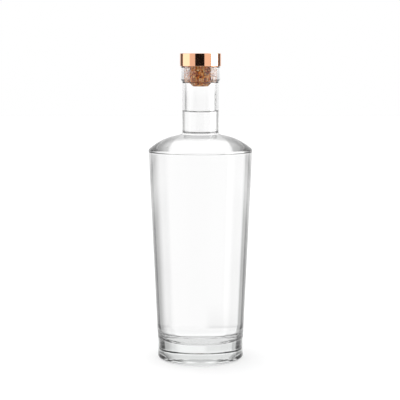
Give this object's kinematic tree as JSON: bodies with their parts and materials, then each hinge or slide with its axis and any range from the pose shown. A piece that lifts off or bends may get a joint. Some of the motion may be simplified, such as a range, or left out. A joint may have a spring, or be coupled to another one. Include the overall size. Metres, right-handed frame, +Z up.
{
  "type": "liquor bottle",
  "caption": "Clear glass liquor bottle with a wide shoulder, tapering body, thick base and straight neck, full of clear liquid, closed by a cork stopper with a metal cap.",
  "frame": {"origin": "on the bottle's axis, at the middle of the ring that it stands on", "axes": "+Z up along the bottle's axis, from the base to the cap; the bottle is round, so +X and +Y are free"},
  "size_m": [0.0898, 0.0898, 0.265],
  "materials": {
    "clear_glass": "clear flint glass, fire-polished",
    "clear_spirit": "clear colourless liquid",
    "agglomerated_cork": "ground and polished agglomerated cork, matte",
    "moulded_head": "moulded plastic, matte",
    "rose_gold_metal": "polished, rose-gold coloured"
  },
  "bodies": {
    "bottle": {"glass_bottle": "clear_glass", "spirit_fill": "clear_spirit"},
    "stopper": {"cork_shank": "agglomerated_cork", "stopper_head": "moulded_head", "cap_shell": "rose_gold_metal"}
  },
  "joints": [
    {"name": "stopper_pull", "type": "slide", "parent": "bottle", "child": "stopper", "axis": [0, 0, 1], "range_m": [0, 0.03]}
  ]
}
